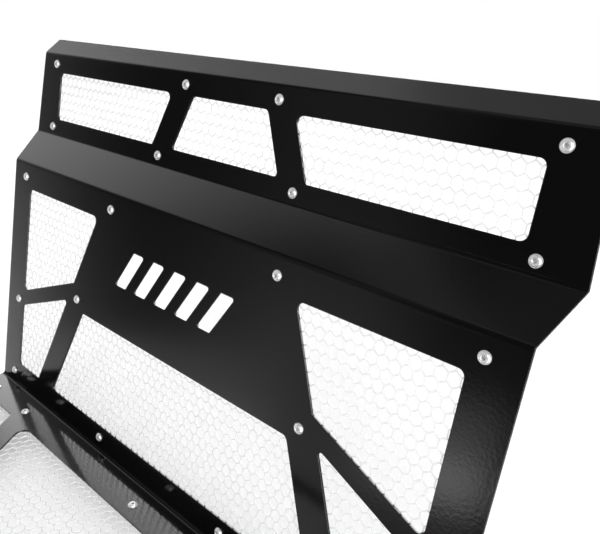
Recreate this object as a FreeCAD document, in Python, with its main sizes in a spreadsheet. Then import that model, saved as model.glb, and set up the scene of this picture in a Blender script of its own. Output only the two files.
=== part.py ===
import FreeCAD, Part
import math
import os
import Sketcher

# Bed-mounted headache rack: one folded sheet (top flange, upper panel, sloping shelf,
# lower panel and deck), hexagonal mesh screwed behind its windows, and two rails below.
# Frame: +X to the right along the rack's width, -Y the side that faces the load, +Z up.
# The origin is midway between the four bolts that hold the rails down, on the underside
# of the rubber pads.

SIZES = {
    # Folded sheet, measured to the faces that look at the load
    "sheet_thickness": 3.0,
    "bend_radius": 5.0,
    "back_angle": 10.0,
    "panel_front": 132.0,
    "deck_depth": 264.0,
    "deck_top": 31.0,
    "lip_height": 18.0,
    "edge_radius": 0.4,
    "lower_height": 382.0,
    "shelf_rise": 48.0,
    "upper_height": 127.0,
    "flange_rise": 24.0,
    "slope_angle": 48.4,
    "lower_half": 430.0,
    "shoulder_half": 447.0,
    "top_half": 438.0,
    # Windows of the upper panel
    "lean_angle": 22.9,
    "upper_rail": 26.0,
    "top_rail": 29.0,
    "upper_outer": 388.0,
    "upper_web": 87.0,
    "upper_web_width": 42.0,
    # Windows of the lower panel
    "lower_top_rail": 40.0,
    "lower_bottom_rail": 38.5,
    "lower_outer": 380.0,
    "lower_inner": 186.0,
    "lower_web_width": 45.0,
    "brace_drop": 112.0,
    "brace_angle": 22.0,
    "brace_width": 26.0,
    "centre_drop": 151.0,
    # Windows of the deck
    "deck_back_rail": 50.0,
    "deck_front_rail": 38.0,
    "deck_outer": 380.0,
    "deck_web": 281.5,
    "deck_web_width": 40.0,
    "deck_lean_angle": 31.0,
    "window_corner": 7.5,
    "acute_corner": 4.0,
    "brace_corner": 3.0,
    "deck_corner": 12.0,
    # Row of leaning slots in the middle of the lower panel
    "slot_width": 25.0,
    "slot_height": 54.0,
    "slot_pitch": 43.0,
    "slot_drop": 68.0,
    "slot_shift": 16.0,
    "slot_angle": 32.0,
    "slot_corner": 3.0,
    # Mesh
    "mesh_thickness": 2.0,
    "mesh_margin": 9.5,
    "notch_half": 146.0,
    "notch_floor": 163.0,
    # Mesh screws, penny washers and flange nuts
    "screw_radius": 3.0,
    "screw_length": 16.0,
    "screw_hole": 3.3,
    "screw_head_radius": 6.8,
    "screw_head_height": 3.3,
    "socket_across": 4.0,
    "socket_depth": 2.2,
    "washer_radius": 9.0,
    "washer_thickness": 1.6,
    "nut_bore": 3.05,
    "nut_flange_radius": 7.1,
    "nut_across": 10.0,
    "nut_height": 6.0,
    "upper_screw_inset": 13.0,
    "top_screw_inset": 16.0,
    "upper_screw_outer": 400.0,
    "lower_screw_outer": 393.0,
    "lower_screw_inset": 22.0,
    "bottom_screw_inset": 20.5,
    "bottom_screw_inner": 131.0,
    "deck_back_screw_inset": 30.5,
    "deck_front_screw_inset": 19.0,
    # Rails, pads and their bolts
    "rail_thickness": 3.0,
    "rail_length": 248.0,
    "rail_outer": 428.0,
    "rail_top_width": 24.0,
    "rail_foot_width": 42.0,
    "pad_thickness": 3.0,
    "bed_bolt_half_x": 404.0,
    "bed_bolt_half_y": 72.0,
    "bed_hole": 4.5,
    "bolt_half_x": 415.5,
    "bolt_half_y": 97.0,
    "bolt_radius": 4.0,
    "bolt_length": 20.0,
    "bolt_hole": 4.5,
    "bolt_head_radius": 8.7,
    "bolt_head_height": 4.4,
    "bolt_socket_across": 5.0,
    "bolt_socket_depth": 3.0,
    "bolt_washer_radius": 8.0,
    "bolt_washer_thickness": 1.6,
    "bolt_nut_bore": 4.05,
    "bolt_nut_across": 13.0,
    "bolt_nut_height": 6.5,
}

doc = FreeCAD.newDocument("headache_rack")
sheet = doc.addObject("Spreadsheet::Sheet", "Sizes")
for row, (alias, number) in enumerate(SIZES.items(), start=1):
    sheet.set("A%d" % row, alias)
    sheet.set("B%d" % row, str(number))
    sheet.setAlias("B%d" % row, alias)
doc.recompute()


class Size:
    """A number together with the sheet expression that gives it."""

    def __init__(self, value, text):
        self.value = value
        self.text = text

    def __add__(self, other):
        other = as_size(other)
        return Size(self.value + other.value, "(%s + %s)" % (self.text, other.text))

    def __sub__(self, other):
        other = as_size(other)
        return Size(self.value - other.value, "(%s - %s)" % (self.text, other.text))

    def __mul__(self, other):
        other = as_size(other)
        return Size(self.value * other.value, "(%s * %s)" % (self.text, other.text))

    def __truediv__(self, other):
        other = as_size(other)
        return Size(self.value / other.value, "(%s / %s)" % (self.text, other.text))

    def __neg__(self):
        return Size(-self.value, "(0 - %s)" % self.text)


def as_size(item):
    if isinstance(item, Size):
        return item
    return Size(float(item), "(%r)" % float(item))


def cell(alias):
    return Size(float(sheet.get(alias)), "Sizes." + alias)


def tangent(angle):
    return Size(math.tan(math.radians(angle.value)), "tan(%s)" % angle.text)


def sine(angle):
    return Size(math.sin(math.radians(angle.value)), "sin(%s)" % angle.text)


def cosine(angle):
    return Size(math.cos(math.radians(angle.value)), "cos(%s)" % angle.text)


ZERO = as_size(0)
THICKNESS = cell("sheet_thickness")
MESH_THICKNESS = cell("mesh_thickness")
FRONT = cell("panel_front")
DECK_TOP = cell("deck_top")
DECK_FRONT = FRONT - cell("deck_depth")
DECK_BACK = FRONT
LOWER_BEND = DECK_TOP + cell("lower_height")
UPPER_BEND = LOWER_BEND + cell("shelf_rise")
TOP_BEND = UPPER_BEND + cell("upper_height")
SLOPE = cell("slope_angle")
UPPER_DEPTH = cell("shelf_rise") / tangent(SLOPE)
BACK_ANGLE = cell("back_angle")
LEAN = tangent(cell("lean_angle"))
WINDOW_CORNER = cell("window_corner")
ACUTE_CORNER = cell("acute_corner")
# How far a cutting outline runs past the sheet
CUT_PAST = as_size(90)

# A button head, in shares of its height and radius
RIM_HEIGHT_SHARE = 0.3
DOME_TOP_SHARE = 0.66
DOME_FOOT_SHARE = 0.86
DOME_ROUND_SHARE = 0.3
FOOT_ROUND_SHARE = 0.08

# A nut's flange, in shares of the nut's height and bore
FLANGE_EDGE_SHARE = 0.2
FLANGE_HEIGHT_SHARE = 0.45
FLANGE_NECK_SHARE = 1.6


# --- Sketches -----------------------------------------------------------------------


def new_body(name, label):
    body = doc.addObject("PartDesign::Body", name)
    body.Label = label
    return body


def origin_plane(body, role):
    return [item for item in body.Origin.OriginFeatures if item.Role == role][0]


def new_sketch(body, name, role):
    sketch = body.newObject("Sketcher::SketchObject", name)
    sketch.AttachmentSupport = [(origin_plane(body, role), "")]
    sketch.MapMode = "FlatFace"
    return sketch


def on_wall(height, depth):
    """Y and Z of a place on the upright. The upright leans back from the deck's fold:
    heights run along its lower panel, and depths are square to it, from its front face."""
    up = height - DECK_TOP
    return (FRONT + up * sine(BACK_ANGLE) + depth * cosine(BACK_ANGLE),
            DECK_TOP + up * cosine(BACK_ANGLE) - depth * sine(BACK_ANGLE))


def wall_sketch(body, name, depth=ZERO):
    """A sketch on the upright, in X and height."""
    sketch = new_sketch(body, name, "XZ_Plane")
    y, z = on_wall(ZERO, depth)
    sketch.AttachmentOffset = FreeCAD.Placement(
        FreeCAD.Vector(), FreeCAD.Rotation(FreeCAD.Vector(-1, 0, 0), BACK_ANGLE.value))
    sketch.setExpression("AttachmentOffset.Rotation.Angle", BACK_ANGLE.text)
    sketch.setExpression("AttachmentOffset.Base.y", z.text)
    sketch.setExpression("AttachmentOffset.Base.z", (-y).text)
    return sketch


def deck_sketch(body, name, depth=ZERO):
    """A sketch in X and Y, at a depth below the deck's top."""
    sketch = new_sketch(body, name, "XY_Plane")
    sketch.setExpression("AttachmentOffset.Base.z", (DECK_TOP - depth).text)
    return sketch


def bind_constraint(sketch, index, name, size):
    sketch.renameConstraint(index, name)
    sketch.setExpression("Constraints." + name, size.text)


def fix_point(sketch, geometry, position, x, y):
    """Hold one point of a sketch at x, y from the origin, with both bound to the sheet."""
    for kind, size, axis in (("DistanceX", x, -2), ("DistanceY", y, -1)):
        if size.value == 0.0:
            sketch.addConstraint(Sketcher.Constraint("PointOnObject", geometry, position, axis))
            continue
        index = sketch.addConstraint(
            Sketcher.Constraint(kind, -1, 1, geometry, position, size.value))
        bind_constraint(sketch, index, "%s_%d_%d" % (kind, geometry, position), size)


def corner_arc(before, corner, after, radius):
    """The arc that rounds a corner, with the points where it leaves the two edges."""
    to_before = (before - corner).normalize()
    to_after = (after - corner).normalize()
    half_angle = to_before.getAngle(to_after) / 2
    reach = radius / math.tan(half_angle)
    start = corner + to_before * reach
    end = corner + to_after * reach
    inward = (to_before + to_after).normalize()
    middle = corner + inward * (radius / math.sin(half_angle) - radius)
    return start, end, Part.Arc(start, middle, end)


def end_at(sketch, geometry, point):
    """Which end of a sketch edge lies at a point: 1 for its start, 2 for its end."""
    near_start = sketch.getPoint(geometry, 1).distanceToPoint(point)
    near_end = sketch.getPoint(geometry, 2).distanceToPoint(point)
    return 1 if near_start < near_end else 2


def add_loop(sketch, corners):
    """A closed outline of straight edges. Each corner is (x, y, radius or None)."""
    points = [FreeCAD.Vector(x.value, y.value, 0) for x, y, radius in corners]
    count = len(points)
    arrivals, departures, arcs = [], [], []
    for i, (x, y, radius) in enumerate(corners):
        if radius is None:
            arrivals.append(points[i])
            departures.append(points[i])
            arcs.append(None)
            continue
        start, end, arc = corner_arc(points[i - 1], points[i], points[(i + 1) % count],
                                     radius.value)
        arrivals.append(start)
        departures.append(end)
        arcs.append(sketch.addGeometry(arc, False))
    lines = []
    for i in range(count):
        edge = Part.LineSegment(departures[i], arrivals[(i + 1) % count])
        lines.append(sketch.addGeometry(edge, False))
    for i, (x, y, radius) in enumerate(corners):
        before, after = lines[i - 1], lines[i]
        if radius is None:
            sketch.addConstraint(Sketcher.Constraint("Coincident", before, 2, after, 1))
            fix_point(sketch, after, 1, x, y)
            continue
        arc = arcs[i]
        first = end_at(sketch, arc, arrivals[i])
        sketch.addConstraint(Sketcher.Constraint("Tangent", before, 2, arc, first))
        sketch.addConstraint(Sketcher.Constraint("Tangent", after, 1, arc, 3 - first))
        index = sketch.addConstraint(Sketcher.Constraint("Radius", arc, radius.value))
        bind_constraint(sketch, index, "Radius_%d" % arc, radius)
        mark = sketch.addGeometry(Part.Point(points[i]), True)
        sketch.addConstraint(Sketcher.Constraint("PointOnObject", mark, 1, before))
        sketch.addConstraint(Sketcher.Constraint("PointOnObject", mark, 1, after))
        fix_point(sketch, mark, 1, x, y)


def add_circle(sketch, x, y, radius):
    centre = FreeCAD.Vector(x.value, y.value, 0)
    circle = sketch.addGeometry(
        Part.Circle(centre, FreeCAD.Vector(0, 0, 1), radius.value), False)
    index = sketch.addConstraint(Sketcher.Constraint("Radius", circle, radius.value))
    bind_constraint(sketch, index, "Radius_%d" % circle, radius)
    fix_point(sketch, circle, 3, x, y)


def rectangle(low_x, low_y, high_x, high_y):
    return [(low_x, low_y, None), (high_x, low_y, None),
            (high_x, high_y, None), (low_x, high_y, None)]


def pad(body, sketch, name, length, symmetric=False, backward=False):
    feature = body.newObject("PartDesign::Pad", name)
    feature.Profile = sketch
    feature.setExpression("Length", length.text)
    feature.Midplane = symmetric
    feature.Reversed = backward
    doc.recompute()
    return feature


def cut_through(body, sketch, name):
    """Cut a sketch through everything on both sides of it, and make sure that it cut."""
    before = body.Shape.Volume
    feature = body.newObject("PartDesign::Pocket", name)
    feature.Profile = sketch
    feature.Type = "ThroughAll"
    feature.Midplane = True
    doc.recompute()
    if not feature.Shape.Volume < before:
        raise ValueError(name + " cuts nothing")
    return feature


def cut_down(body, sketch, name, depth):
    """Cut a sketch to a depth below it, and make sure that it cut."""
    before = body.Shape.Volume
    feature = body.newObject("PartDesign::Pocket", name)
    feature.Profile = sketch
    feature.setExpression("Length", depth.text)
    doc.recompute()
    if not feature.Shape.Volume < before:
        raise ValueError(name + " cuts nothing")
    return feature


def mirror_across_middle(body, features, name):
    """Repeat cuts on the other side of the rack's plane of symmetry."""
    feature = body.newObject("PartDesign::Mirrored", name)
    feature.Originals = features
    feature.MirrorPlane = (origin_plane(body, "YZ_Plane"), [""])
    body.Tip = feature
    doc.recompute()
    return feature


# --- Where the screws go ------------------------------------------------------------


def both_sides(places):
    """The given places and their mirror images across the middle."""
    return [(sign * x, y) for x, y in places for sign in (as_size(1), as_size(-1))]


def upper_screw_places():
    """X and Z of the upper panel's screws: two at each web, two at each outer end."""
    rows = (TOP_BEND - cell("top_screw_inset"), UPPER_BEND + cell("upper_screw_inset"))
    window_top = TOP_BEND - cell("top_rail")
    places = [(cell("upper_screw_outer"), z) for z in rows]
    places += [(cell("upper_web") + LEAN * (window_top - z), z) for z in rows]
    return both_sides(places)


def lower_web_middle(z):
    """X of the middle of the lower panel's leaning web, at height z."""
    window_top = LOWER_BEND - cell("lower_top_rail")
    return cell("lower_inner") - cell("lower_web_width") / 2 + LEAN * (window_top - z)


def brace_top(x):
    """Z of the upper edge of the brace between the outer windows, at a place across."""
    drop = tangent(cell("brace_angle")) * (x - brace_start())
    return LOWER_BEND - cell("lower_top_rail") - cell("brace_drop") - drop


def brace_start():
    """X of the upper outer window's lower inner corner, where the brace begins."""
    return cell("lower_inner") + LEAN * cell("brace_drop")


def lower_screw_places():
    """X and Z of the lower panel's screws."""
    outer = cell("lower_screw_outer")
    top = LOWER_BEND - cell("lower_screw_inset")
    bottom = DECK_TOP + cell("bottom_screw_inset")
    middle = LOWER_BEND - cell("lower_top_rail") - cell("brace_drop") - cell("lower_screw_inset")
    places = [(outer, top), (lower_web_middle(top), top)]
    places += [(lower_web_middle(middle), middle)]
    places += [(outer, brace_top(outer) - cell("brace_width") / 2)]
    places += [(outer, bottom), (cell("bottom_screw_inner"), bottom)]
    return both_sides(places)


def deck_web_middle(y):
    """X of the middle of the deck's slanting web, at a distance y along the deck."""
    window_back = DECK_BACK - cell("deck_back_rail")
    return cell("deck_web") - tangent(cell("deck_lean_angle")) * (window_back - y)


def deck_screw_places():
    """X and Y of the deck's screws."""
    back = DECK_BACK - cell("deck_back_screw_inset")
    front = DECK_FRONT + cell("deck_front_screw_inset")
    outer = cell("lower_screw_outer")
    places = [(outer, back), (deck_web_middle(back), back)]
    places += [(outer, front), (deck_web_middle(front), front)]
    return both_sides(places) + [(ZERO, back)]


# --- Folded sheet -------------------------------------------------------------------


def sheet_profile():
    """The section of the folded sheet in Y and Z: front face down, back face up."""
    inner = cell("bend_radius")
    outer = inner + THICKNESS
    bend = THICKNESS * tangent((as_size(90) - SLOPE) / 2)
    fold = THICKNESS * tangent((as_size(90) - BACK_ANGLE) / 2)
    flange_height = TOP_BEND + cell("flange_rise")
    flange_depth = UPPER_DEPTH + cell("flange_rise") / tangent(SLOPE)
    lip_z = DECK_TOP - cell("lip_height")
    wall_front = [
        (flange_height, flange_depth, None),
        (TOP_BEND, UPPER_DEPTH, outer),
        (UPPER_BEND, UPPER_DEPTH, inner),
        (LOWER_BEND, ZERO, outer),
    ]
    deck = [
        (FRONT, DECK_TOP, inner),
        (DECK_FRONT, DECK_TOP, outer),
        (DECK_FRONT, lip_z, None),
        (DECK_FRONT + THICKNESS, lip_z, None),
        (DECK_FRONT + THICKNESS, DECK_TOP - THICKNESS, inner),
        (FRONT + fold, DECK_TOP - THICKNESS, outer),
    ]
    wall_back = [
        (LOWER_BEND - bend, THICKNESS, inner),
        (UPPER_BEND - bend, UPPER_DEPTH + THICKNESS, outer),
        (TOP_BEND - bend, UPPER_DEPTH + THICKNESS, inner),
        (flange_height - THICKNESS * cosine(SLOPE), flange_depth + THICKNESS * sine(SLOPE), None),
    ]
    return on_wall_loop(wall_front) + deck + on_wall_loop(wall_back)


def on_wall_loop(places):
    """Corners of the section, given by height, depth and radius, in Y and Z."""
    return [(*on_wall(height, depth), radius) for height, depth, radius in places]


def side_trim():
    """What is cut off the sheet's right end, so that it is widest at the upper bend."""
    clear = cell("shoulder_half") + CUT_PAST
    above = TOP_BEND + CUT_PAST
    below = DECK_TOP - CUT_PAST
    taper = (cell("shoulder_half") - cell("top_half")) / cell("upper_height")
    half_above = cell("top_half") - taper * (above - TOP_BEND)
    return [
        (cell("lower_half"), below, None),
        (clear, below, None),
        (clear, above, None),
        (half_above, above, None),
        (cell("shoulder_half"), UPPER_BEND, None),
        (cell("lower_half"), LOWER_BEND, None),
    ]


def upper_outer_window():
    top = TOP_BEND - cell("top_rail")
    bottom = UPPER_BEND + cell("upper_rail")
    inner_top = cell("upper_web") + cell("upper_web_width") / 2
    inner_bottom = inner_top + LEAN * (top - bottom)
    return [
        (inner_top, top, WINDOW_CORNER),
        (inner_bottom, bottom, ACUTE_CORNER),
        (cell("upper_outer"), bottom, WINDOW_CORNER),
        (cell("upper_outer"), top, WINDOW_CORNER),
    ]


def upper_centre_window():
    top = TOP_BEND - cell("top_rail")
    bottom = UPPER_BEND + cell("upper_rail")
    half_top = cell("upper_web") - cell("upper_web_width") / 2
    half_bottom = half_top + LEAN * (top - bottom)
    return [
        (half_top, top, WINDOW_CORNER),
        (-half_top, top, WINDOW_CORNER),
        (-half_bottom, bottom, ACUTE_CORNER),
        (half_bottom, bottom, ACUTE_CORNER),
    ]


def lower_outer_window():
    """The window above the brace."""
    top = LOWER_BEND - cell("lower_top_rail")
    outer = cell("lower_outer")
    return [
        (cell("lower_inner"), top, WINDOW_CORNER),
        (brace_start(), brace_top(brace_start()), cell("brace_corner")),
        (outer, brace_top(outer), WINDOW_CORNER),
        (outer, top, WINDOW_CORNER),
    ]


def corner_window():
    """The window below the brace: its inner edge is in line with the one above."""
    bottom = DECK_TOP + cell("lower_bottom_rail")
    outer = cell("lower_outer")
    window_top = LOWER_BEND - cell("lower_top_rail")
    steepness = LEAN * tangent(cell("brace_angle"))
    drop = cell("brace_drop") + cell("brace_width") / (as_size(1) - steepness)
    inner_top = cell("lower_inner") + LEAN * drop
    inner_bottom = cell("lower_inner") + LEAN * (window_top - bottom)
    return [
        (inner_top, window_top - drop, ACUTE_CORNER),
        (inner_bottom, bottom, ACUTE_CORNER),
        (outer, bottom, WINDOW_CORNER),
        (outer, brace_top(outer) - cell("brace_width"), WINDOW_CORNER),
    ]


def lower_centre_window():
    top = LOWER_BEND - cell("lower_top_rail") - cell("centre_drop")
    bottom = DECK_TOP + cell("lower_bottom_rail")
    offset = cell("lower_web_width") / 2
    half_top = lower_web_middle(top) - offset
    half_bottom = lower_web_middle(bottom) - offset
    return [
        (half_top, top, WINDOW_CORNER),
        (-half_top, top, WINDOW_CORNER),
        (-half_bottom, bottom, ACUTE_CORNER),
        (half_bottom, bottom, ACUTE_CORNER),
    ]


def leaning_slot(number):
    """One of the row of five slots, counted from -2 to 2."""
    bottom = LOWER_BEND - cell("slot_drop") - cell("slot_height")
    top = LOWER_BEND - cell("slot_drop")
    lean = tangent(cell("slot_angle")) * cell("slot_height")
    left = cell("slot_pitch") * number - cell("slot_shift") - (cell("slot_width") + lean) / 2
    right = left + cell("slot_width")
    corner = cell("slot_corner")
    return [(left, bottom, corner), (right, bottom, corner),
            (right + lean, top, corner), (left + lean, top, corner)]


def deck_side_window():
    back = DECK_BACK - cell("deck_back_rail")
    front = DECK_FRONT + cell("deck_front_rail")
    offset = cell("deck_web_width") / 2
    outer = cell("deck_outer")
    return [
        (deck_web_middle(back) + offset, back, WINDOW_CORNER),
        (deck_web_middle(front) + offset, front, WINDOW_CORNER),
        (outer, front, WINDOW_CORNER),
        (outer, back, WINDOW_CORNER),
    ]


def deck_centre_window():
    back = DECK_BACK - cell("deck_back_rail")
    front = DECK_FRONT + cell("deck_front_rail")
    offset = cell("deck_web_width") / 2
    half_back = deck_web_middle(back) - offset
    half_front = deck_web_middle(front) - offset
    corner = cell("deck_corner")
    return [(half_back, back, corner), (-half_back, back, corner),
            (-half_front, front, corner), (half_front, front, corner)]


def bolt_places():
    """X and Y of the right-hand rail's bolts."""
    return [(cell("bolt_half_x"), cell("bolt_half_y")), (cell("bolt_half_x"), -cell("bolt_half_y"))]


def window_edges(shape):
    """The edges round the windows and slots, on both faces of the sheet. Screw holes have
    a single circular edge each and stay sharp."""
    edges = []
    for face in shape.Faces:
        if face.Surface.TypeId != "Part::GeomPlane":
            continue
        for wire in face.Wires:
            if len(wire.Edges) > 2 and not wire.isSame(face.OuterWire):
                edges += wire.Edges
    return edges


def edge_middle(edge):
    return edge.valueAt((edge.FirstParameter + edge.LastParameter) / 2)


def face_normals(shape, edge):
    """Which way the faces on both sides of an edge look, at its middle."""
    middle = edge_middle(edge)
    return [face.normalAt(*face.Surface.parameter(middle))
            for face in shape.ancestorsOfType(edge, Part.Face)]


def is_free_edge(shape, edge):
    """Whether an edge is where the sheet was cut, and not a line where a bend begins."""
    first, second = face_normals(shape, edge)
    return first.getAngle(second) > math.radians(60)


def long_free_edges(shape):
    """The edges along the flange and the lip, from end to end."""
    end_to_end = cell("lower_half").value * 1.9
    return [edge for edge in shape.Edges
            if edge.Length > end_to_end and is_free_edge(shape, edge)]


def round_painted_edges(body):
    """Powder coat leaves a small radius on the sheet's cut edges."""
    cut_sheet = body.Tip
    shape = cut_sheet.Shape
    chosen = window_edges(shape) + long_free_edges(shape)
    names = ["Edge%d" % number for number, edge in enumerate(shape.Edges, start=1)
             if any(edge.isSame(other) for other in chosen)]
    fillet = body.newObject("PartDesign::Fillet", "PaintedEdges")
    fillet.Base = (cut_sheet, names)
    fillet.setExpression("Radius", cell("edge_radius").text)
    doc.recompute()


def make_rack_sheet():
    body = new_body("RackSheet", "rack_sheet")
    profile = new_sketch(body, "FoldProfile", "YZ_Plane")
    add_loop(profile, sheet_profile())
    pad(body, profile, "FoldedSheet", cell("shoulder_half") * 2, symmetric=True)

    side = wall_sketch(body, "RightOpenings")
    for outline in (upper_outer_window(), lower_outer_window(), corner_window()):
        add_loop(side, outline)
    side_cut = cut_through(body, side, "RightWindows")

    trim = wall_sketch(body, "RightTrim")
    add_loop(trim, side_trim())
    trim_cut = cut_through(body, trim, "RightEnd")

    deck_side = deck_sketch(body, "RightDeckOpenings")
    add_loop(deck_side, deck_side_window())
    for x, y in bolt_places():
        add_circle(deck_side, x, y, cell("bolt_hole"))
    deck_cut = cut_through(body, deck_side, "RightDeckWindows")
    mirror_across_middle(body, [side_cut, trim_cut, deck_cut], "LeftHalf")

    centre = wall_sketch(body, "CentreOpenings")
    add_loop(centre, upper_centre_window())
    add_loop(centre, lower_centre_window())
    for number in range(-2, 3):
        add_loop(centre, leaning_slot(number))
    cut_through(body, centre, "CentreWindows")

    deck_centre = deck_sketch(body, "DeckOpening")
    add_loop(deck_centre, deck_centre_window())
    cut_through(body, deck_centre, "DeckWindow")

    wall_holes = wall_sketch(body, "WallScrewHoles")
    for x, z in upper_screw_places() + lower_screw_places():
        add_circle(wall_holes, x, z, cell("screw_hole"))
    cut_through(body, wall_holes, "WallHoles")

    deck_holes = deck_sketch(body, "DeckScrewHoles")
    for x, y in deck_screw_places():
        add_circle(deck_holes, x, y, cell("screw_hole"))
    cut_through(body, deck_holes, "DeckHoles")
    round_painted_edges(body)
    return body


# --- Mesh ---------------------------------------------------------------------------


def make_mesh(name, label, sketch_at, depth, outline, places):
    """A flat sheet of mesh at a depth behind its panel's face, drilled for the screws."""
    body = new_body(name, label)
    face = sketch_at(body, name + "Outline", depth)
    add_loop(face, outline)
    for x, y in places:
        add_circle(face, x, y, cell("screw_hole"))
    pad(body, face, name + "Sheet", MESH_THICKNESS, backward=True)
    return body


def make_upper_mesh():
    margin = cell("mesh_margin")
    half = cell("upper_screw_outer") + margin
    outline = rectangle(-half, UPPER_BEND + cell("upper_screw_inset") - margin,
                        half, TOP_BEND - cell("top_screw_inset") + margin)
    return make_mesh("UpperMesh", "upper_mesh", wall_sketch, UPPER_DEPTH + THICKNESS,
                     outline, upper_screw_places())


def make_lower_mesh():
    """The mesh leaves the slotted middle of the panel free, so it is U-shaped."""
    half = cell("lower_screw_outer") + cell("mesh_margin")
    top = LOWER_BEND - cell("lower_screw_inset") + cell("mesh_margin")
    bottom = DECK_TOP + cell("bottom_screw_inset") - cell("mesh_margin")
    floor = LOWER_BEND - cell("notch_floor")
    notch = cell("notch_half")
    outline = [(-half, bottom, None), (half, bottom, None), (half, top, None),
               (notch, top, None), (notch, floor, None), (-notch, floor, None),
               (-notch, top, None), (-half, top, None)]
    return make_mesh("LowerMesh", "lower_mesh", wall_sketch, THICKNESS, outline,
                     lower_screw_places())


def make_deck_mesh():
    margin = cell("mesh_margin")
    half = cell("lower_screw_outer") + margin
    front = DECK_FRONT + cell("deck_front_screw_inset") - margin
    back = DECK_BACK - cell("deck_back_screw_inset") + margin
    outline = rectangle(-half, front, half, back)
    return make_mesh("DeckMesh", "deck_mesh", deck_sketch, THICKNESS, outline,
                     deck_screw_places())


# --- Fasteners ----------------------------------------------------------------------


def hexagon(across):
    """The corners of a hexagon, given its width across flats."""
    corner = across / math.sqrt(3)
    side = corner / 2
    half = across / 2
    return [(corner, ZERO, None), (side, half, None), (-side, half, None),
            (-corner, ZERO, None), (-side, -half, None), (side, -half, None)]


def revolve(body, sketch, name):
    feature = body.newObject("PartDesign::Revolution", name)
    feature.Profile = sketch
    feature.ReferenceAxis = (sketch, ["V_Axis"])
    feature.Angle = 360
    doc.recompute()
    return feature


def make_socket_screw(name, radius, length, head_radius, head_height, across, depth):
    """A button head screw with a flange: the face it sits on is at Z 0, its head above."""
    body = new_body(name, name)
    outline = new_sketch(body, name + "Outline", "XZ_Plane")
    rim = head_height * RIM_HEIGHT_SHARE
    add_loop(outline, [
        (ZERO, head_height, None),
        (head_radius * DOME_TOP_SHARE, head_height, head_radius * DOME_ROUND_SHARE),
        (head_radius * DOME_FOOT_SHARE, rim, head_radius * FOOT_ROUND_SHARE),
        (head_radius, rim, None),
        (head_radius, ZERO, None),
        (radius, ZERO, None),
        (radius, -length, None),
        (ZERO, -length, None),
    ])
    revolve(body, outline, name + "Turned")
    mouth = new_sketch(body, name + "Socket", "XY_Plane")
    add_loop(mouth, hexagon(across))
    mouth.setExpression("AttachmentOffset.Base.z", head_height.text)
    cut_down(body, mouth, name + "Hex", depth)
    return body


def make_washer(name, radius, bore, top, thickness):
    """A flat ring below a height."""
    body = new_body(name, name)
    outline = new_sketch(body, name + "Outline", "XZ_Plane")
    add_loop(outline, rectangle(bore, top - thickness, radius, top))
    revolve(body, outline, name + "Ring")
    return body


def make_nut(name, bore, across, height, top, flange_radius=None):
    """A hexagon nut below a height, with a flange under its seat when it has one."""
    body = new_body(name, name)
    flats = new_sketch(body, name + "Flats", "XY_Plane")
    add_loop(flats, hexagon(across))
    add_circle(flats, ZERO, ZERO, bore)
    flats.setExpression("AttachmentOffset.Base.z", top.text)
    pad(body, flats, name + "Hex", height, backward=True)
    if flange_radius is not None:
        ring = new_sketch(body, name + "Ring", "XZ_Plane")
        edge = top - height * FLANGE_EDGE_SHARE
        foot = top - height * FLANGE_HEIGHT_SHARE
        add_loop(ring, [(bore, top, None), (flange_radius, top, None),
                        (flange_radius, edge, None), (bore * FLANGE_NECK_SHARE, foot, None),
                        (bore, foot, None)])
        revolve(body, ring, name + "Flange")
    return body


def place_group(label, master, placements):
    """One node of identical pieces, each a solid of its own. A placement is the turn about
    the X axis, and the place."""
    copies = []
    for number, (turn, x, y, z) in enumerate(placements, start=1):
        copy = doc.addObject("App::Link", "%s_%d" % (label, number))
        copy.LinkedObject = master
        copy.Placement = FreeCAD.Placement(
            FreeCAD.Vector(), FreeCAD.Rotation(FreeCAD.Vector(1, 0, 0), turn.value))
        copy.setExpression("Placement.Rotation.Angle", turn.text)
        for axis, size in (("x", x), ("y", y), ("z", z)):
            copy.setExpression("Placement.Base." + axis, size.text)
        copies.append(copy)
    group = doc.addObject("Part::Compound", label)
    group.Links = copies
    group.Label = label
    return group


def screw_placements():
    """Where each panel's screws sit on its visible face."""
    upright = as_size(90) - BACK_ANGLE
    return {
        "upper": [(upright, x, *on_wall(z, UPPER_DEPTH)) for x, z in upper_screw_places()],
        "lower": [(upright, x, *on_wall(z, ZERO)) for x, z in lower_screw_places()],
        "deck": [(ZERO, x, y, DECK_TOP) for x, y in deck_screw_places()],
    }


def make_mesh_fasteners():
    washer_top = -(THICKNESS + MESH_THICKNESS)
    nut_top = washer_top - cell("washer_thickness")
    masters = {
        "screws": make_socket_screw(
            "MeshScrew", cell("screw_radius"), cell("screw_length"),
            cell("screw_head_radius"), cell("screw_head_height"),
            cell("socket_across"), cell("socket_depth")),
        "washers": make_washer(
            "MeshWasher", cell("washer_radius"), cell("screw_hole"),
            washer_top, cell("washer_thickness")),
        "nuts": make_nut(
            "MeshNut", cell("nut_bore"), cell("nut_across"), cell("nut_height"),
            nut_top, cell("nut_flange_radius")),
    }
    return [place_group("%s_%s" % (panel, kind), master, placements)
            for panel, placements in screw_placements().items()
            for kind, master in masters.items()]


def make_rail_fasteners():
    washer_top = -(THICKNESS + cell("rail_thickness"))
    nut_top = washer_top - cell("bolt_washer_thickness")
    masters = {
        "rail_bolts": make_socket_screw(
            "RailBolt", cell("bolt_radius"), cell("bolt_length"),
            cell("bolt_head_radius"), cell("bolt_head_height"),
            cell("bolt_socket_across"), cell("bolt_socket_depth")),
        "rail_washers": make_washer(
            "RailWasher", cell("bolt_washer_radius"), cell("bolt_hole"),
            washer_top, cell("bolt_washer_thickness")),
        "rail_nuts": make_nut(
            "RailNut", cell("bolt_nut_bore"), cell("bolt_nut_across"),
            cell("bolt_nut_height"), nut_top),
    }
    placements = [(ZERO, x, y, DECK_TOP) for x, y in both_sides(bolt_places())]
    return [place_group(label, master, placements) for label, master in masters.items()]


# --- Rails and pads -----------------------------------------------------------------


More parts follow.
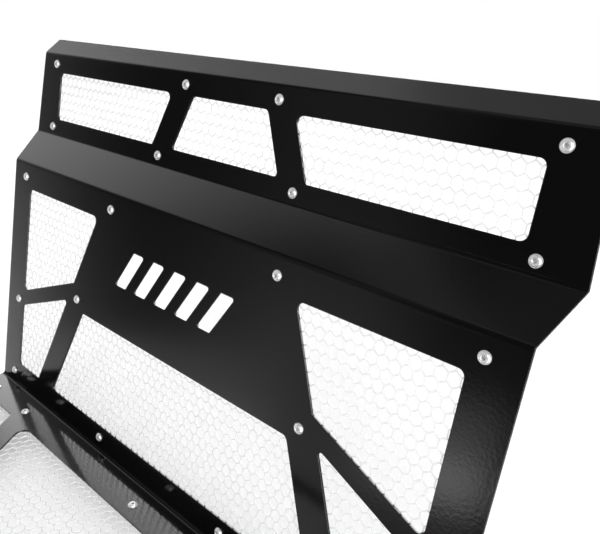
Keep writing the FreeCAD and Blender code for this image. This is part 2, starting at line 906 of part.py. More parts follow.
def make_right_rail():
    """A folded channel, open towards the middle: short flange on top, wide foot below.
    The inside of each bend has a radius of one wall."""
    wall = cell("rail_thickness")
    outer = wall * 2
    side = cell("rail_outer")
    base = cell("pad_thickness")
    top = DECK_TOP - THICKNESS
    body = new_body("RightRail", "right_rail")
    section = new_sketch(body, "RailSection", "XZ_Plane")
    add_loop(section, [
        (side - cell("rail_foot_width"), base, None),
        (side, base, outer),
        (side, top, outer),
        (side - cell("rail_top_width"), top, None),
        (side - cell("rail_top_width"), top - wall, None),
        (side - wall, top - wall, wall),
        (side - wall, base + wall, wall),
        (side - cell("rail_foot_width"), base + wall, None),
    ])
    pad(body, section, "RailChannel", cell("rail_length"), symmetric=True)
    holes = new_sketch(body, "RailHoles", "XY_Plane")
    for x, y in bolt_places():
        add_circle(holes, x, y, cell("bolt_hole"))
    holes.setExpression("AttachmentOffset.Base.z", top.text)
    cut_down(body, holes, "RailBoltHoles", outer)
    foot = new_sketch(body, "RailFootHoles", "XY_Plane")
    for sign in (1, -1):
        add_circle(foot, cell("bed_bolt_half_x"), cell("bed_bolt_half_y") * sign,
                   cell("bed_hole"))
    foot.setExpression("AttachmentOffset.Base.z", (base + outer).text)
    cut_down(body, foot, "RailBedHoles", outer)
    return body


def make_right_pad():
    """A rubber strip under the rail's foot."""
    body = new_body("RightPad", "right_pad")
    face = new_sketch(body, "PadOutline", "XY_Plane")
    half = cell("rail_length") / 2
    side = cell("rail_outer") - cell("rail_thickness") * 2
    add_loop(face, rectangle(cell("rail_outer") - cell("rail_foot_width"), -half, side, half))
    for sign in (1, -1):
        add_circle(face, cell("bed_bolt_half_x"), cell("bed_bolt_half_y") * sign,
                   cell("bed_hole"))
    pad(body, face, "PadStrip", cell("pad_thickness"))
    return body


def make_left_twin(piece, label):
    """The same piece on the left, mirrored across the middle."""
    twin = doc.addObject("Part::Mirroring", label)
    twin.Source = piece
    twin.Normal = FreeCAD.Vector(1, 0, 0)
    twin.Label = label
    return twin


# --- Build, check and write ---------------------------------------------------------


def make_all():
    nodes = [make_rack_sheet(), make_upper_mesh(), make_lower_mesh(), make_deck_mesh()]
    nodes += make_mesh_fasteners()
    right_rail = make_right_rail()
    right_pad = make_right_pad()
    nodes += [right_rail, make_left_twin(right_rail, "left_rail")]
    nodes += [right_pad, make_left_twin(right_pad, "left_pad")]
    nodes += make_rail_fasteners()
    return nodes


def check_document(nodes):
    for item in doc.Objects:
        if "Invalid" in item.State or "Error" in item.State:
            raise ValueError("%s failed: %s" % (item.Name, item.State))
    for node in nodes:
        if node.Shape.isNull() or not node.Shape.isValid():
            raise ValueError("%s has no valid shape" % node.Label)


def write_nodes(nodes):
    os.makedirs("parts", exist_ok=True)
    for node in nodes:
        node.Shape.exportStep("parts/%s.step" % node.Label)
        box = node.Shape.BoundBox
        print("%-14s solids %2d volume %10.0f  x %.1f..%.1f  y %.1f..%.1f  z %.1f..%.1f" % (
            node.Label, len(node.Shape.Solids), node.Shape.Volume,
            box.XMin, box.XMax, box.YMin, box.YMax, box.ZMin, box.ZMax))


rack_nodes = make_all()
doc.recompute()
check_document(rack_nodes)
write_nodes(rack_nodes)
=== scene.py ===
import math

import bmesh
import bpy
import numpy as np
from mathutils import Matrix, Vector


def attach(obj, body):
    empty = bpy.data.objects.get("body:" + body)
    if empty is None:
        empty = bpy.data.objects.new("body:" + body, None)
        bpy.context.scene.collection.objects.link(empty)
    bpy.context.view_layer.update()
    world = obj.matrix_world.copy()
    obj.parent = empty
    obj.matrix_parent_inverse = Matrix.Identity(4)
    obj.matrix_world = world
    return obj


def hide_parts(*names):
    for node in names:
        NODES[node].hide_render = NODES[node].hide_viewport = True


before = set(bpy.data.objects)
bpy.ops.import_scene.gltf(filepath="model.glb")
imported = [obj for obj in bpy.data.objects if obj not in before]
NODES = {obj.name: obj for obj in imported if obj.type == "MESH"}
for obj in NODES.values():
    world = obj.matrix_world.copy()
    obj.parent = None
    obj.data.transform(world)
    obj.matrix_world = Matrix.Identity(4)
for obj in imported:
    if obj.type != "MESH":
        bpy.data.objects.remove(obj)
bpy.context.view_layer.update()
MM = 0.001

# Hexagonal mesh: pitch across the flats and from row to row, then a strand's width, half its
# thickness and its rounding, as shares of half its width and of half its thickness
HEX_PITCH = 13.0 * MM
HEX_ROW = 12.6 * MM
STRAND = 1.7 * MM
STRAND_HALF_DEPTH = 1.0 * MM
STRAND_PROFILE = ((0.0, 0.92), (0.55, 0.80), (1.0, 0.0), (0.55, -0.80), (0.0, -0.92))

# The lower mesh is cut away behind the slots: half the gap's width, and its depth
NOTCH_HALF = 146.0 * MM
NOTCH_DEPTH = 150.5 * MM

# Each copy of a screw or nut is turned by this much more than the one before, in radians
TURN_START = 0.7
TURN_STEP = 2.4

# Camera, in the row frame
CAMERA_PLACE = (0.5537, -0.2509, 0.6349)
CAMERA_YAW = 39.503
CAMERA_PITCH = 21.753
CAMERA_ROLL = 3.445
CAMERA_LENS = 36.24

# Floor: half width, front and back edges, and how far it lies below the pads
FLOOR_HALF = 4.0
FLOOR_FRONT = -0.95
FLOOR_BACK = 5.0
FLOOR_GAP = 0.2 * MM

# Key light: place, what it is aimed at, side and power
KEY_PLACE = (1.7, -1.8, 1.7)
KEY_TARGET = (0.0, 0.1, 0.3)
KEY_SIDE = 1.2
KEY_WATTS = 30.0

# Even light on everything matt
SOFT_LIGHT = 0.95

# What the gloss mirrors. AROUND goes round the upright from its front, -1, to its back, 1,
# and BY_HEIGHT is a factor on it from straight down, -1, to straight up, 1. The others are
# added: by height, the pale ground, a dim ceiling and a bright wall behind; and a soft box
# far out on the right. IN_FRONT is how much of the ground shows, laid out like AROUND.
AROUND = ((-1.0, 0.03), (-0.93, 0.035), (-0.865, 0.16), (-0.79, 0.17), (-0.72, 0.10),
          (-0.65, 0.035), (-0.60, 0.02), (-0.545, 0.05), (-0.50, 0.10), (-0.46, 0.20),
          (-0.40, 0.45), (-0.34, 0.72), (-0.27, 1.03), (-0.17, 1.22), (-0.03, 0.86),
          (0.08, 0.60), (0.60, 0.25), (0.90, 0.05), (1.0, 0.05))
BY_HEIGHT = ((-1.0, 2.7), (-0.34, 2.7), (-0.276, 2.0), (-0.19, 1.5), (-0.13, 1.0), (0.5, 1.0),
             (0.77, 0.70), (0.90, 0.40), (1.0, 0.40))
GROUND = ((-1.0, 0.25), (-0.538, 0.20), (-0.520, 2.0), (-0.495, 2.6), (-0.475, 2.25),
          (-0.455, 1.2), (-0.43, 0.85), (-0.40, 0.65), (-0.37, 0.13), (-0.34, 0.0), (1.0, 0.0))
IN_FRONT = ((-1.0, 0.1), (-0.966, 0.22), (-0.9625, 0.60), (-0.959, 1.0), (-0.93, 1.0),
            (-0.90, 0.35), (-0.87, 0.05), (-0.84, 0.0), (-0.80, 0.05), (-0.76, 0.28),
            (-0.71, 0.45), (-0.65, 0.58), (-0.58, 0.80), (-0.50, 0.40), (-0.42, 0.0),
            (1.0, 0.0))
CEILING = ((-1.0, 0.0), (0.70, 0.0), (0.77, 0.10), (0.81, 0.26), (0.85, 0.28), (0.88, 0.08),
           (1.0, 0.06))
BEHIND = ((-1.0, 0.0), (0.0, 0.0), (0.25, 8.0), (0.60, 8.0), (0.77, 5.0), (0.85, 3.0),
          (0.90, 1.1), (1.0, 0.6))
RIGHT = ((-1.0, 0.0), (0.70, 0.0), (0.90, 5.0), (1.0, 5.0))


# --- Materials ------------------------------------------------------------------------


def new_material(name):
    material = bpy.data.materials.new(name)
    material.use_nodes = True
    tree = material.node_tree
    return material, tree, tree.nodes["Principled BSDF"]


def noise(tree, scale, detail=3.0):
    """Noise in the piece's own coordinates, which are the row frame's, in metres."""
    where = tree.nodes.new("ShaderNodeTexCoord")
    texture = tree.nodes.new("ShaderNodeTexNoise")
    texture.inputs["Scale"].default_value = scale
    texture.inputs["Detail"].default_value = detail
    tree.links.new(where.outputs["Object"], texture.inputs["Vector"])
    return texture.outputs["Fac"]


def remap(tree, value, low, high, to_low, to_high):
    node = tree.nodes.new("ShaderNodeMapRange")
    for name, number in (("From Min", low), ("From Max", high),
                         ("To Min", to_low), ("To Max", to_high)):
        node.inputs[name].default_value = number
    tree.links.new(value, node.inputs["Value"])
    return node.outputs["Result"]


def tint(tree, factor, dark, light):
    """A colour between two, by a factor."""
    node = tree.nodes.new("ShaderNodeMix")
    node.data_type = "RGBA"
    node.inputs["A"].default_value = (*dark, 1.0)
    node.inputs["B"].default_value = (*light, 1.0)
    tree.links.new(factor, node.inputs["Factor"])
    return node.outputs["Result"]


def bump(tree, height, strength, distance, under=None):
    node = tree.nodes.new("ShaderNodeBump")
    node.inputs["Strength"].default_value = strength
    node.inputs["Distance"].default_value = distance
    tree.links.new(height, node.inputs["Height"])
    if under is not None:
        tree.links.new(under, node.inputs["Normal"])
    return node.outputs["Normal"]


def soft_edges(tree, radius):
    """A normal that rounds the edges of a piece over a small radius."""
    node = tree.nodes.new("ShaderNodeBevel")
    node.samples = 4
    node.inputs["Radius"].default_value = radius
    return node.outputs["Normal"]


def powder_coat():
    """Gloss black powder coat: a clear, faintly rippled skin over a duller black."""
    material, tree, shader = new_material("black_powder_coat")
    patches = noise(tree, 9.0)
    grain = noise(tree, 60.0)
    tree.links.new(tint(tree, patches, (0.0008, 0.0008, 0.0009), (0.0018, 0.0018, 0.0020)),
                   shader.inputs["Base Color"])
    tree.links.new(remap(tree, grain, 0.3, 0.7, 0.40, 0.50), shader.inputs["Roughness"])
    shader.inputs["IOR"].default_value = 1.5
    shader.inputs["Specular IOR Level"].default_value = 0.02
    shader.inputs["Coat Weight"].default_value = 1.0
    shader.inputs["Coat Roughness"].default_value = 0.11
    shader.inputs["Coat IOR"].default_value = 1.5
    peel = noise(tree, 270.0, detail=2.0)
    rippled = bump(tree, peel, 0.24, 0.0002, soft_edges(tree, 1.2 * MM))
    tree.links.new(rippled, shader.inputs["Normal"])
    tree.links.new(rippled, shader.inputs["Coat Normal"])
    return material


def bare_mesh():
    """Bright rolled wire, a little duller in patches."""
    material, tree, shader = new_material("bare_mesh")
    patches = noise(tree, 40.0)
    tree.links.new(tint(tree, patches, (0.71, 0.71, 0.715), (0.80, 0.80, 0.80)),
                   shader.inputs["Base Color"])
    tree.links.new(remap(tree, patches, 0.3, 0.7, 0.50, 0.62), shader.inputs["Roughness"])
    shader.inputs["Metallic"].default_value = 0.05
    drawn = noise(tree, 900.0, detail=2.0)
    tree.links.new(bump(tree, drawn, 0.15, 0.0001), shader.inputs["Normal"])
    return material


def plated_steel():
    """Bright plated fasteners with fine tumbling marks, with painted shade darkening the
    recesses.
    """
    material, tree, shader = new_material("zinc_fastener")
    patches = noise(tree, 180.0)
    # Painted shade: an ambient occlusion mask darkens the colour in sockets, threads and grooves,
    # where shade falls.
    hollow = tree.nodes.new("ShaderNodeAmbientOcclusion")
    hollow.samples = 8
    hollow.inputs["Distance"].default_value = 2.5 * MM
    open_to_light = remap(tree, hollow.outputs["AO"], 0.30, 0.80, 0.0, 1.0)
    plate = tint(tree, patches, (0.76, 0.77, 0.78), (0.92, 0.92, 0.92))
    # Painted shade: the plate colour falls to near black where a recess is shut in.
    recess_shaded = tint(tree, open_to_light, (0.05, 0.05, 0.05), (1.0, 1.0, 1.0))
    tree.links.new(plate, recess_shaded.node.inputs["B"])
    tree.links.new(recess_shaded, shader.inputs["Base Color"])
    tree.links.new(remap(tree, patches, 0.3, 0.7, 0.24, 0.38), shader.inputs["Roughness"])
    shader.inputs["Metallic"].default_value = 0.6
    marks = noise(tree, 2500.0, detail=4.0)
    tree.links.new(bump(tree, marks, 0.18, 0.00005), shader.inputs["Normal"])
    return material


def rubber():
    """Matt rubber with a moulded grain."""
    material, tree, shader = new_material("rubber_pad")
    patches = noise(tree, 30.0)
    tree.links.new(tint(tree, patches, (0.012, 0.012, 0.012), (0.030, 0.029, 0.028)),
                   shader.inputs["Base Color"])
    tree.links.new(remap(tree, patches, 0.3, 0.7, 0.62, 0.8), shader.inputs["Roughness"])
    grain = noise(tree, 1500.0)
    tree.links.new(bump(tree, grain, 0.4, 0.0002, soft_edges(tree, 0.5 * MM)),
                   shader.inputs["Normal"])
    return material


def give(piece, material):
    """Put one material on a whole piece."""
    if not piece.data.materials:
        piece.data.materials.append(material)
    for slot in piece.material_slots:
        slot.material = material


# --- Making pieces --------------------------------------------------------------------


def new_piece(name, data, node, material, smooth_angle=None):
    """A piece that stands for a CAD node, which it hides from view."""
    piece = bpy.data.objects.new(name, data)
    bpy.context.scene.collection.objects.link(piece)
    give(piece, material)
    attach(piece, "root")
    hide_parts(node)
    if smooth_angle is not None:
        data.shade_smooth()
        data.set_sharp_from_angle(angle=math.radians(smooth_angle))
    return piece


def mesh_from(name, points, faces):
    data = bpy.data.meshes.new(name)
    data.from_pydata(points, [], faces)
    data.update()
    return data


def panel_axes(node):
    """Across, up and out of a flat CAD sheet, as a matrix's columns."""
    out = max(NODES[node].data.polygons, key=lambda face: face.area).normal.copy()
    if out.z < 0:
        out.negate()
    across = Vector((1.0, 0.0, 0.0))
    return Matrix((across, out.cross(across), out)).transposed()


def points_along(node, axes):
    """A CAD node's points, measured along a panel's axes."""
    return np.array([vertex.co for vertex in NODES[node].data.vertices]) @ np.array(axes)


# --- Hexagonal mesh -------------------------------------------------------------------


def hex_corner(column, row, corner):
    """A corner of a cell in whole steps: half a pitch across and a third of a row up."""
    across = 2 * column + row % 2 + (0, 1, 1, 0, -1, -1)[corner]
    up = 3 * row + (2, 1, -1, -2, -1, 1)[corner]
    return across, up


def lattice(width, height, keep_cell):
    """Points (across, up, out) and faces of a perforated hexagonal sheet, centred.

    Each cell is a ring: its outer line runs along the middle of the strands, and its
    inner line is the edge of the hole, so that the strands have round sides."""
    points, faces, crest = [], [], {}
    columns = math.ceil(width / HEX_PITCH / 2) + 1
    rows = math.ceil(height / HEX_ROW / 2) + 1
    inset = STRAND / 2 / math.cos(math.radians(30))

    def crest_point(key, out):
        if (key, out) not in crest:
            crest[key, out] = len(points)
            points.append((key[0] * HEX_PITCH / 2, key[1] * HEX_ROW / 3,
                           out * STRAND_HALF_DEPTH))
        return crest[key, out]

    for row in range(-rows, rows + 1):
        for column in range(-columns, columns + 1):
            centre = Vector(((2 * column + row % 2) * HEX_PITCH / 2, row * HEX_ROW))
            if not keep_cell(centre.x, centre.y):
                continue
            corners = [hex_corner(column, row, corner) for corner in range(6)]
            rings = [[crest_point(key, STRAND_PROFILE[0][1]) for key in corners]]
            for share, out in STRAND_PROFILE[1:-1]:
                ring = []
                for key in corners:
                    corner = Vector((key[0] * HEX_PITCH / 2, key[1] * HEX_ROW / 3))
                    shift = (centre - corner).normalized() * (inset * share)
                    ring.append(len(points))
                    points.append((*(corner + shift), out * STRAND_HALF_DEPTH))
                rings.append(ring)
            rings.append([crest_point(key, STRAND_PROFILE[-1][1]) for key in corners])
            for upper, lower in zip(rings, rings[1:]):
                for i in range(6):
                    j = (i + 1) % 6
                    faces.append((upper[i], lower[i], lower[j], upper[j]))
    return points, faces


def close_rim(bm):
    """Wall off the outer line of the lattice between its front and back crests."""
    def ends(edge):
        return frozenset((round(v.co.x, 6), round(v.co.y, 6)) for v in edge.verts)

    rim = [edge for edge in bm.edges if edge.is_boundary]
    fronts = [edge for edge in rim if edge.verts[0].co.z >= 0]
    backs = {ends(edge): edge for edge in rim if edge.verts[0].co.z < 0}
    for edge in fronts:
        a, b = edge.verts
        c, d = backs[ends(edge)].verts
        if (a.co.xy - c.co.xy).length > 1e-6:
            c, d = d, c
        bm.faces.new((a, b, d, c))


def clip(bm, low, high):
    """Cut the lattice to its sheet and cap the cut strands."""
    for point, normal in (((low[0], 0, 0), (-1, 0, 0)), ((high[0], 0, 0), (1, 0, 0)),
                          ((0, low[1], 0), (0, -1, 0)), ((0, high[1], 0), (0, 1, 0))):
        geometry = bm.verts[:] + bm.edges[:] + bm.faces[:]
        cut = bmesh.ops.bisect_plane(bm, geom=geometry, dist=1e-7, plane_co=point,
                                     plane_no=normal, clear_outer=True)
        edges = [item for item in cut["geom_cut"] if isinstance(item, bmesh.types.BMEdge)]
        bmesh.ops.holes_fill(bm, edges=edges, sides=0)


def make_hex_mesh(node, material, notch=None):
    """Strands in place of a flat CAD sheet. notch(x, below_top) says where it is cut out."""
    axes = panel_axes(node)
    points = points_along(node, axes)
    low, high = points.min(axis=0), points.max(axis=0)
    width, height = high[0] - low[0], high[1] - low[1]

    def keep_cell(x, up):
        return notch is None or not notch(x, height / 2 - up)

    points, faces = lattice(width, height, keep_cell)
    bm = bmesh.new()
    for point in points:
        bm.verts.new(point)
    bm.verts.ensure_lookup_table()
    for face in faces:
        bm.faces.new([bm.verts[i] for i in face])
    close_rim(bm)
    clip(bm, (-width / 2, -height / 2), (width / 2, height / 2))
    middle = axes @ Vector((low + high) / 2)
    bm.transform(Matrix.Translation(middle) @ axes.to_4x4())
    bmesh.ops.recalc_face_normals(bm, faces=bm.faces[:])
    data = bpy.data.meshes.new("hex_" + node)
    bm.to_mesh(data)
    bm.free()
    return new_piece("hex_" + node, data, node, material, smooth_angle=50)


# --- Fasteners ------------------------------------------------------------------------


def round_ring(radius, height, count):
    angles = np.arange(count) * 2 * math.pi / count
    return np.column_stack((radius * np.cos(angles), radius * np.sin(angles),
                            np.full(count, height)))


def hex_radius(across, count):
    """The distance from the middle to a hexagon's side, at each of a ring's points."""
    angles = np.arange(count) * 2 * math.pi / count
    from_flat = (angles + math.pi / 6) % (math.pi / 3) - math.pi / 6
    return across / 2 / np.cos(from_flat)


def shell(rings, loop=False):
    """Points and faces of rings joined in order, into a loop or capped at both ends."""
    count = len(rings[0])
    points = np.vstack(rings).tolist()
    faces = []
    pairs = list(zip(range(len(rings)), range(1, len(rings))))
    if loop:
        pairs.append((len(rings) - 1, 0))
    for a, b in pairs:
        for i in range(count):
            j = (i + 1) % count
            faces.append((a * count + i, a * count + j, b * count + j, b * count + i))
    if not loop:
        last = (len(rings) - 1) * count
        faces.append(tuple(range(count))[::-1])
        faces.append(tuple(range(last, last + count)))
    return points, faces


def joined(parts):
    """One set of points and faces from several."""
    points, faces = [], []
    for more_points, more_faces in parts:
        base = len(points)
        points += more_points
        faces += [tuple(i + base for i in face) for face in more_faces]
    return points, faces


def socket_head(radius, height, across, depth, count=48):
    """A domed head on a thin flange, with a chamfered hexagon socket."""
    rim = height * 0.3
    profile = [(0.30, 0.0), (0.95, 0.0), (0.99, rim * 0.15), (1.0, rim * 0.35),
               (1.0, rim * 0.75), (0.985, rim * 0.93), (0.955, rim), (0.88, rim * 1.02)]
    rings = [round_ring(radius * share, level, count) for share, level in profile]
    top = radius * 0.50
    foot = radius * 0.86
    for step in range(9):
        turn = step / 8 * math.pi / 2
        out = top + (foot - top) * math.cos(turn)
        level = rim * 1.06 + (height - rim * 1.06) * math.sin(turn)
        rings.append(round_ring(out, level, count))
    mouth = hex_radius(across, count)
    corner = across / math.sqrt(3)
    rings.append(round_ring(corner * 1.12, height, count))
    chamfer = np.minimum(mouth, corner * 0.995)
    rings.append(round_ring(chamfer, height - across * 0.10, count))
    rings.append(round_ring(mouth * 0.99, height - across * 0.14, count))
    rings.append(round_ring(mouth * 0.985, height - depth * 0.96, count))
    rings.append(round_ring(mouth * 0.90, height - depth, count))
    rings.append(round_ring(across * 0.12, height - depth * 1.1, count))
    return shell(rings)


def threaded_shank(radius, length, pitch, thread_from, count=24):
    """A shank from just inside the head to the tip, with a helical thread near the tip."""
    steps = 6
    root = radius - pitch * 0.54
    angles = np.arange(count) / count
    rings = [round_ring(radius * 0.98, 0.3 * MM, count),
             round_ring(radius * 0.98, -thread_from + pitch, count)]
    level = -thread_from
    tip = -length + pitch * 0.6
    while level > tip:
        phase = (level / pitch - angles) % 1.0
        ridge = 1 - np.abs(phase * 2 - 1)
        ridge = np.clip(ridge * 1.25 - 0.12, 0, 1)
        rings.append(round_ring(root + (radius - root) * ridge, level, count))
        level -= pitch / steps
    rings.append(round_ring(root, tip, count))
    rings.append(round_ring(root * 0.86, -length, count))
    return shell(rings)


def bore_rings(bore, height, count):
    """A nut's bore, from its lower face back up, with a countersink at each end."""
    return [round_ring(bore * 1.16, -height, count), round_ring(bore, -height * 0.93, count),
            round_ring(bore, -height * 0.07, count)]


def flange_nut(bore, across, height, flange, count=48):
    """A hexagon nut on a sloping flange, below its seat at height 0."""
    flats = hex_radius(across, count)
    corner = across / math.sqrt(3)
    rings = [round_ring(bore * 1.12, 0.0, count), round_ring(flange * 0.97, 0.0, count),
             round_ring(flange, -height * 0.03, count), round_ring(flange, -height * 0.12, count),
             round_ring(flange * 0.97, -height * 0.16, count)]
    for step in range(7):
        share = step / 6
        cone = flange * (0.96 - 0.30 * share)
        rings.append(round_ring(np.maximum(flats * 0.99, cone),
                                -height * (0.18 + 0.22 * share), count))
    for share, cut in ((0.84, 1.01), (0.89, 0.985), (0.94, 0.95), (0.98, 0.905), (1.0, 0.87)):
        rings.append(round_ring(np.minimum(flats, corner * cut), -height * share, count))
    rings += bore_rings(bore, height, count)
    return shell(rings[::-1], loop=True)


def plain_nut(bore, across, height, count=48):
    """A hexagon nut, chamfered on both faces, below its seat at height 0."""
    flats = hex_radius(across, count)
    corner = across / math.sqrt(3)
    rings = [round_ring(bore * 1.12, 0.0, count)]
    levels = [(0.0, 0.87), (0.02, 0.905), (0.06, 0.95), (0.11, 0.985), (0.16, 1.01)]
    for share, cut in levels + [(1 - share, cut) for share, cut in levels[::-1]]:
        rings.append(round_ring(np.minimum(flats, corner * cut), -height * share, count))
    rings += bore_rings(bore, height, count)
    return shell(rings[::-1], loop=True)


def washer(radius, bore, thickness, count=48):
    """A stamped washer, rounded on its edges, below its top at height 0."""
    edge = thickness * 0.12
    corners = ((bore + edge, 0.0), (radius - edge, 0.0), (radius, -edge),
               (radius, edge - thickness), (radius - edge, -thickness),
               (bore + edge, -thickness), (bore, edge - thickness), (bore, -edge))
    rings = [round_ring(out, level, count) for out, level in corners]
    return shell(rings[::-1], loop=True)


def places_of(node, axes, reach=0.03):
    """The lowest and highest corner of each separate solid, along a panel's axes."""
    points = points_along(node, axes)
    places = []
    while len(points):
        near = np.linalg.norm(points - points[0], axis=1) < reach
        solid = points[near]
        places.append((solid.min(axis=0), solid.max(axis=0)))
        points = points[~near]
    return sorted(places, key=lambda box: (round(box[0][1], 3), round(box[0][0], 3)))


def place_all(name, node, shape, axes, above, material, spun=False):
    """One mesh with a copy of a shape at each of a node's solids, turned to a panel's axes.
    above is how much of the solid stands out beyond the shape's height 0. Where spun is
    true, each copy has turned further about its own axis."""
    points, faces = shape
    points = np.array(points)
    every_point, every_face = [], []
    for number, (low, high) in enumerate(places_of(node, axes)):
        turn = number * TURN_STEP + TURN_START if spun else 0.0
        spin = axes @ Matrix.Rotation(turn, 3, "Z")
        middle = (low + high) / 2
        middle[2] = high[2] - above
        base = len(every_point)
        turned = points @ np.array(spin).T + np.array(axes) @ middle
        every_point += turned.tolist()
        every_face += [tuple(i + base for i in face) for face in faces]
    data = mesh_from(name, every_point, every_face)
    bm = bmesh.new()
    bm.from_mesh(data)
    bmesh.ops.recalc_face_normals(bm, faces=bm.faces[:])
    bm.to_mesh(data)
    bm.free()
    piece = new_piece(name, data, node, material, smooth_angle=32)


def make_mesh_fasteners(material):
    """The M6 screws, penny washers and flange nuts of the three meshes."""
    head = 3.3 * MM
    screw = joined([
        socket_head(radius=6.3 * MM, height=head, across=4.0 * MM, depth=2.2 * MM),
        threaded_shank(radius=3.0 * MM, length=16.0 * MM, pitch=1.0 * MM,
                       thread_from=9.0 * MM)])
    penny = washer(radius=9.0 * MM, bore=3.3 * MM, thickness=1.6 * MM)
    nut = flange_nut(bore=3.05 * MM, across=10.0 * MM, height=6.0 * MM, flange=7.1 * MM)
    for panel in ("upper", "lower", "deck"):
        axes = panel_axes(panel + "_mesh")
        place_all("screw_set_" + panel, panel + "_screws", screw, axes, head, material, True)
        place_all("washer_set_" + panel, panel + "_washers", penny, axes, 0.0, material)
        place_all("nut_set_" + panel, panel + "_nuts", nut, axes, 0.0, material, True)


def make_rail_fasteners(material):
    """The M8 bolts, washers and nuts that hold the rails to the deck."""
    level = Matrix.Identity(3)
    head = 4.4 * MM
    bolt = joined([
        socket_head(radius=8.7 * MM, height=head, across=5.0 * MM, depth=3.0 * MM),
        threaded_shank(radius=4.0 * MM, length=20.0 * MM, pitch=1.25 * MM,
                       thread_from=12.0 * MM)])
    flat = washer(radius=8.0 * MM, bore=4.5 * MM, thickness=1.6 * MM)
    nut = plain_nut(bore=4.05 * MM, across=13.0 * MM, height=6.5 * MM)
    place_all("bolt_set_rail", "rail_bolts", bolt, level, head, material, True)
    place_all("washer_set_rail", "rail_washers", flat, level, 0.0, material)
    place_all("nut_set_rail", "rail_nuts", nut, level, 0.0, material, True)


# --- Stage ----------------------------------------------------------------------------


def make_floor():
    corners = [(-FLOOR_HALF, FLOOR_FRONT, 0), (FLOOR_HALF, FLOOR_FRONT, 0),
               (FLOOR_HALF, FLOOR_BACK, 0), (-FLOOR_HALF, FLOOR_BACK, 0)]
    data = mesh_from("floor", corners, [(0, 1, 2, 3)])
    floor = bpy.data.objects.new("floor", data)
    bpy.context.scene.collection.objects.link(floor)
    floor.location.z = -FLOOR_GAP
    floor.visible_glossy = False
    material, tree, shader = new_material("pale_floor")
    shader.inputs["Base Color"].default_value = (0.86, 0.86, 0.86, 1.0)
    shader.inputs["Roughness"].default_value = 0.8
    shader.inputs["Emission Color"].default_value = (1.0, 1.0, 1.0, 1.0)
    shader.inputs["Emission Strength"].default_value = 0.15
    give(floor, material)


def ramp_of(tree, value, stops):
    """A level that follows stops of (value from -1 to 1, level)."""
    top = max(level for _, level in stops)
    node = tree.nodes.new("ShaderNodeValToRGB")
    tree.links.new(remap(tree, value, -1.0, 1.0, 0.0, 1.0), node.inputs["Fac"])
    elements = node.color_ramp.elements
    while len(elements) < len(stops):
        elements.new(0.5)
    for element, (place, level) in zip(elements, stops):
        element.position = (place + 1) / 2
        element.color = (level / top,) * 3 + (1.0,)
    return remap(tree, node.outputs["Color"], 0.0, 1.0, 0.0, top)


def combine(tree, operation, a, b):
    node = tree.nodes.new("ShaderNodeMath")
    node.operation = operation
    tree.links.new(a, node.inputs[0])
    tree.links.new(b, node.inputs[1])
    return node.outputs["Value"]


def plain_background(tree, level):
    """The same light from everywhere."""
    node = tree.nodes.new("ShaderNodeBackground")
    node.inputs["Color"].default_value = (level, level, level, 1.0)
    return node


def either(tree, factor, no, yes):
    """One shader or the other, by a factor."""
    node = tree.nodes.new("ShaderNodeMixShader")
    tree.links.new(factor, node.inputs["Fac"])
    tree.links.new(no.outputs[0], node.inputs[1])
    tree.links.new(yes.outputs[0], node.inputs[2])
    return node


def looked_up(tree, lean):
    """The parts of a direction: X and Z once it is laid square to the leaning panels, and
    the Y of its bearing, which goes from -1 in front of the rack to 1 behind it."""
    where = tree.nodes.new("ShaderNodeTexCoord")
    square = tree.nodes.new("ShaderNodeVectorRotate")
    square.rotation_type = "X_AXIS"
    square.inputs["Angle"].default_value = lean
    flat = tree.nodes.new("ShaderNodeVectorMath")
    flat.operation = "MULTIPLY"
    flat.inputs[1].default_value = (1.0, 1.0, 0.0)
    unit = tree.nodes.new("ShaderNodeVectorMath")
    unit.operation = "NORMALIZE"
    bearing = tree.nodes.new("ShaderNodeSeparateXYZ")
    parts = tree.nodes.new("ShaderNodeSeparateXYZ")
    tree.links.new(where.outputs["Generated"], square.inputs["Vector"])
    tree.links.new(square.outputs["Vector"], parts.inputs["Vector"])
    tree.links.new(square.outputs["Vector"], flat.inputs[0])
    tree.links.new(flat.outputs["Vector"], unit.inputs[0])
    tree.links.new(unit.outputs["Vector"], bearing.inputs["Vector"])
    return parts.outputs["X"], bearing.outputs["Y"], parts.outputs["Z"]


def mirrored_light(tree, lean):
    """What the gloss mirrors: dim in front of the rack and brighter round to its back, over
    a pale ground that is darker further off."""
    right, bearing, up = looked_up(tree, lean)
    at_back = remap(tree, bearing, 0.14, 0.42, 0.0, 1.0)
    level = combine(tree, "MULTIPLY", ramp_of(tree, bearing, AROUND),
                    ramp_of(tree, up, BY_HEIGHT))
    for more in (combine(tree, "MULTIPLY", ramp_of(tree, bearing, IN_FRONT),
                         ramp_of(tree, up, GROUND)),
                 ramp_of(tree, up, CEILING), ramp_of(tree, right, RIGHT),
                 combine(tree, "MULTIPLY", at_back, ramp_of(tree, up, BEHIND))):
        level = combine(tree, "ADD", level, more)
    background = plain_background(tree, 1.0)
    tree.links.new(level, background.inputs["Strength"])
    return background


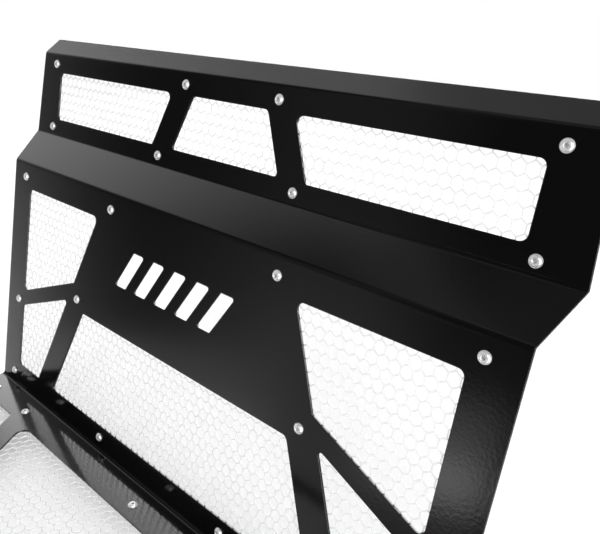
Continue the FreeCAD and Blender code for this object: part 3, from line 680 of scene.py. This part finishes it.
def make_world(lean):
    """Soft studio surroundings: mirrored by the gloss, even for matt surfaces, and white
    where the camera looks straight at them."""
    world = bpy.data.worlds.new("studio")
    bpy.context.scene.world = world
    world.use_nodes = True
    tree = world.node_tree
    tree.nodes.clear()
    output = tree.nodes.new("ShaderNodeOutputWorld")
    path = tree.nodes.new("ShaderNodeLightPath")
    lit = either(tree, path.outputs["Is Glossy Ray"], plain_background(tree, SOFT_LIGHT),
                 mirrored_light(tree, lean))
    seen = either(tree, path.outputs["Is Camera Ray"], lit, plain_background(tree, 1.0))
    tree.links.new(seen.outputs[0], output.inputs["Surface"])


def make_key_light():
    """A square softbox in front of the rack, on its right."""
    data = bpy.data.lights.new("key", "AREA")
    data.size = KEY_SIDE
    data.energy = KEY_WATTS
    light = bpy.data.objects.new("key", data)
    bpy.context.scene.collection.objects.link(light)
    aim = Vector(KEY_TARGET) - Vector(KEY_PLACE)
    light.location = KEY_PLACE
    light.rotation_euler = aim.to_track_quat("-Z", "Y").to_euler()


def make_camera():
    """The camera, from its bearing, its tilt down and its roll."""
    yaw, pitch, roll = (math.radians(a) for a in (CAMERA_YAW, CAMERA_PITCH, CAMERA_ROLL))
    forward = Vector((-math.sin(yaw) * math.cos(pitch), math.cos(yaw) * math.cos(pitch),
                      -math.sin(pitch)))
    level = Vector((math.cos(yaw), math.sin(yaw), 0.0))
    upright = level.cross(forward)
    right = level * math.cos(roll) + upright * math.sin(roll)
    up = upright * math.cos(roll) - level * math.sin(roll)
    data = bpy.data.cameras.new("camera")
    data.lens = CAMERA_LENS
    data.sensor_width = 36.0
    data.clip_start = 0.01
    camera = bpy.data.objects.new("camera", data)
    bpy.context.scene.collection.objects.link(camera)
    turn = Matrix((right, up, -forward)).transposed()
    camera.matrix_world = Matrix.Translation(CAMERA_PLACE) @ turn.to_4x4()
    bpy.context.scene.camera = camera


# --- Build ----------------------------------------------------------------------------

COAT = powder_coat()
for name in ("rack_sheet", "left_rail", "right_rail"):
    give(NODES[name], COAT)
PAD = rubber()
for name in ("left_pad", "right_pad"):
    give(NODES[name], PAD)

WIRE = bare_mesh()
for node, notch in (("upper_mesh", None),
                    ("lower_mesh", lambda x, below: abs(x) < NOTCH_HALF and below < NOTCH_DEPTH),
                    ("deck_mesh", None)):
    make_hex_mesh(node, WIRE, notch)
PLATE = plated_steel()
make_mesh_fasteners(PLATE)
make_rail_fasteners(PLATE)

make_floor()
make_world(math.asin(panel_axes("lower_mesh").col[2].z))
make_key_light()
make_camera()
bpy.context.scene.view_settings.view_transform = "Standard"
